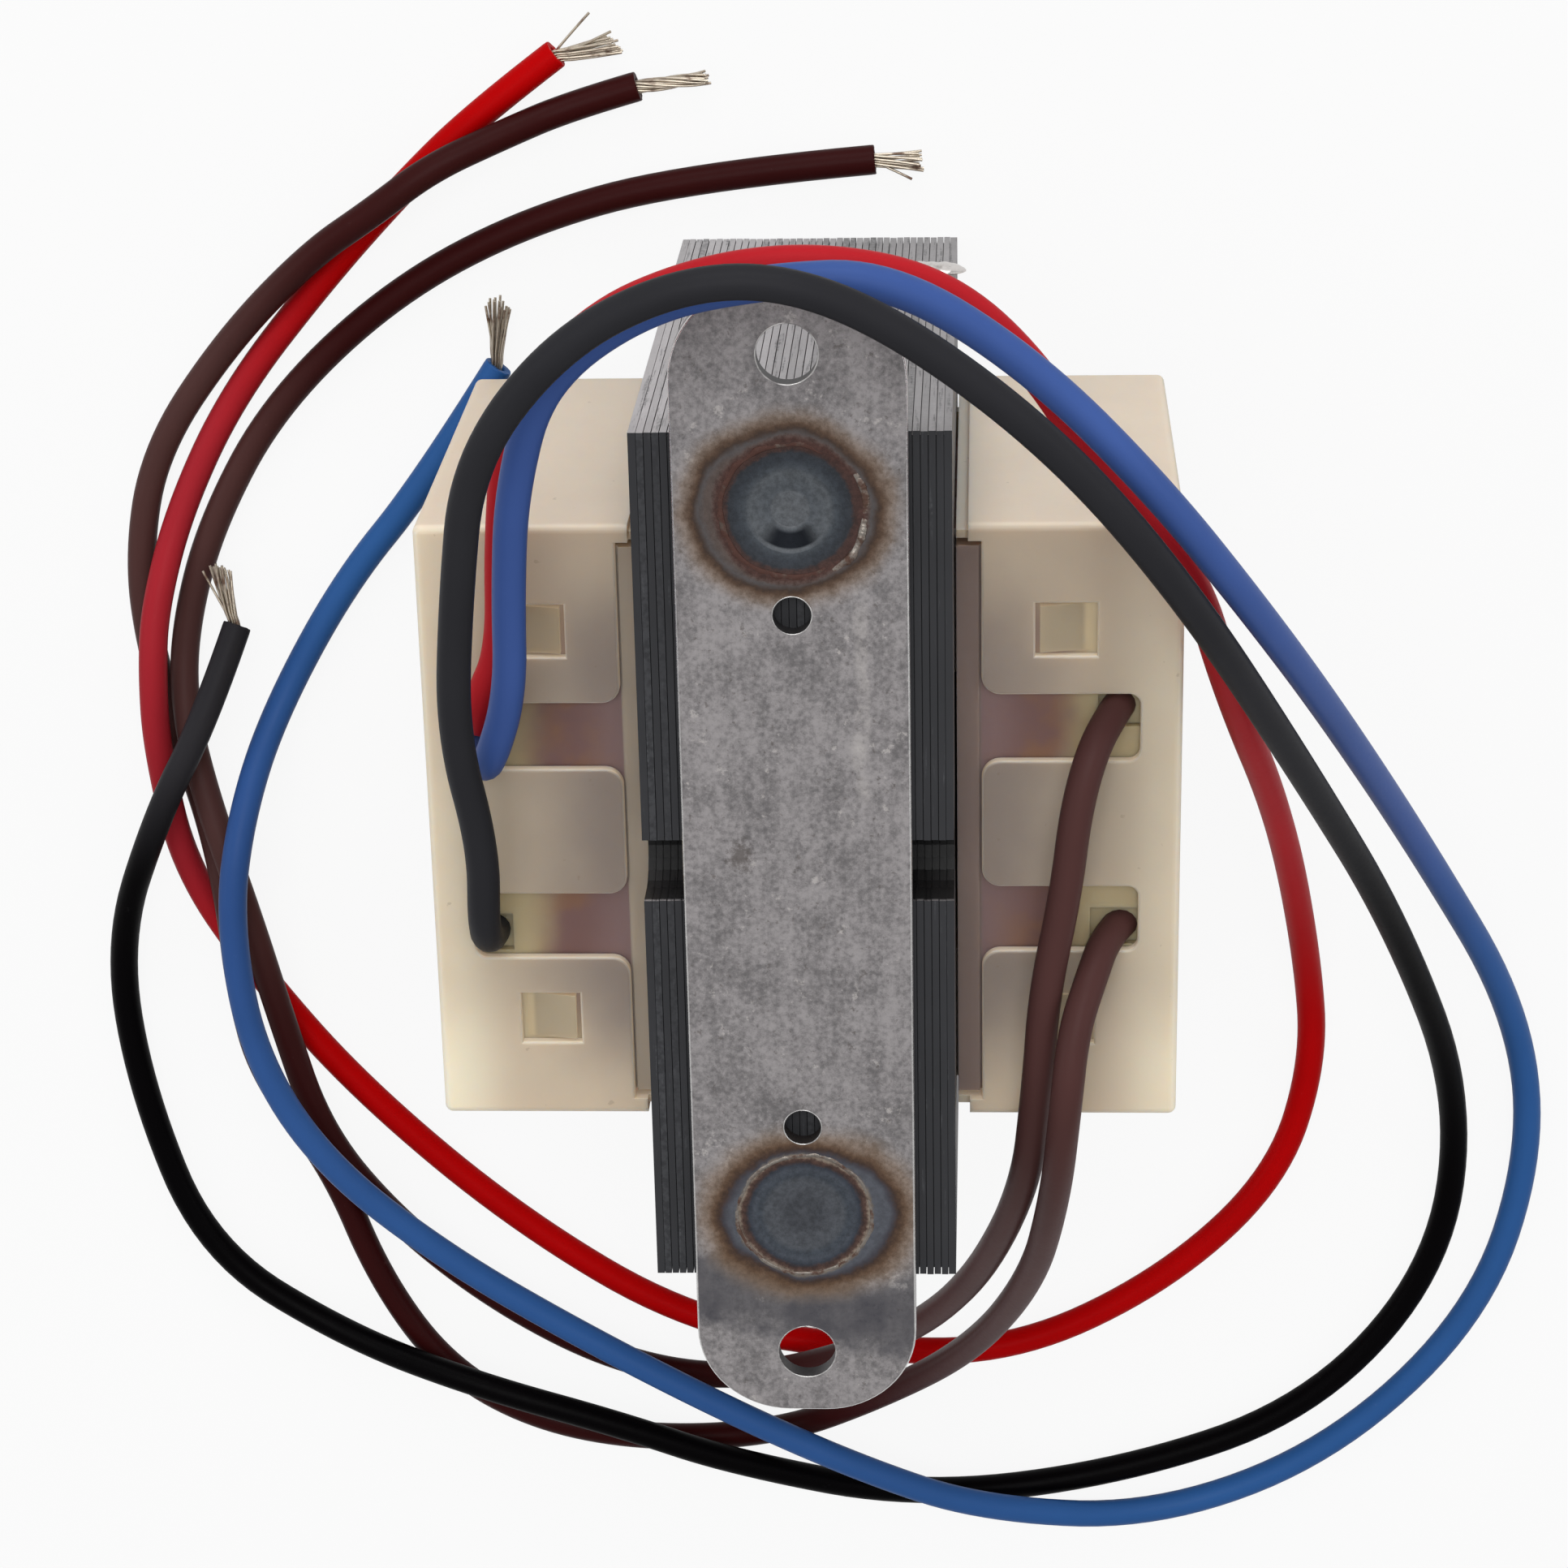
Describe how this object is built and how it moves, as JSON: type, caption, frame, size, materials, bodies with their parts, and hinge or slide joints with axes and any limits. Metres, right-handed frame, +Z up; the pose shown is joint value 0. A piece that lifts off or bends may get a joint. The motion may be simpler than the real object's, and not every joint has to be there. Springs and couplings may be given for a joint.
{
  "type": "power transformer",
  "caption": "Foot-mounted laminated power transformer with clip-on coil covers, a welded steel foot plate and insulated flying leads with bare ends.",
  "frame": {"origin": "centre of the plain face of the core that it lies on", "axes": "+Z up, the outward normal of the foot plate; +Y along the foot plate; +X along the stack of laminations"},
  "size_m": [0.1462, 0.1624, 0.0798],
  "materials": {
    "lamination_steel": "sheared silicon-steel edges, lightly varnished",
    "weld_metal": "bright weld bead",
    "plate_steel": "galvanised sheet, mottled",
    "nylon": "natural nylon, slightly translucent",
    "magnet_wire": "enamelled copper wire",
    "coil_tape": "thin polyester tape",
    "black_insulation": "satin PVC",
    "blue_insulation": "satin PVC",
    "red_insulation": "satin PVC",
    "brown_insulation": "satin PVC",
    "tinned_copper": "tinned copper strands",
    "splice_tape": "wrapped tape"
  },
  "bodies": {
    "root": {"e_laminations": "lamination_steel", "i_laminations": "lamination_steel", "core_seam_welds": "weld_metal", "mounting_plate": "plate_steel", "bobbin": "nylon", "left_cover": "nylon", "right_cover": "nylon", "primary_winding": "magnet_wire", "secondary_winding": "magnet_wire", "interwinding_tape": "coil_tape", "outer_tape": "coil_tape", "lead_black": "black_insulation", "strands_black": "tinned_copper", "splice_black": "splice_tape", "lead_blue": "blue_insulation", "strands_blue": "tinned_copper", "splice_blue": "splice_tape", "lead_red": "red_insulation", "strands_red": "tinned_copper", "splice_red": "splice_tape", "lead_brown_upper": "brown_insulation", "strands_brown_upper": "tinned_copper", "splice_brown_upper": "splice_tape", "lead_brown_lower": "brown_insulation", "strands_brown_lower": "tinned_copper", "splice_brown_lower": "splice_tape"}
  },
  "joints": []
}
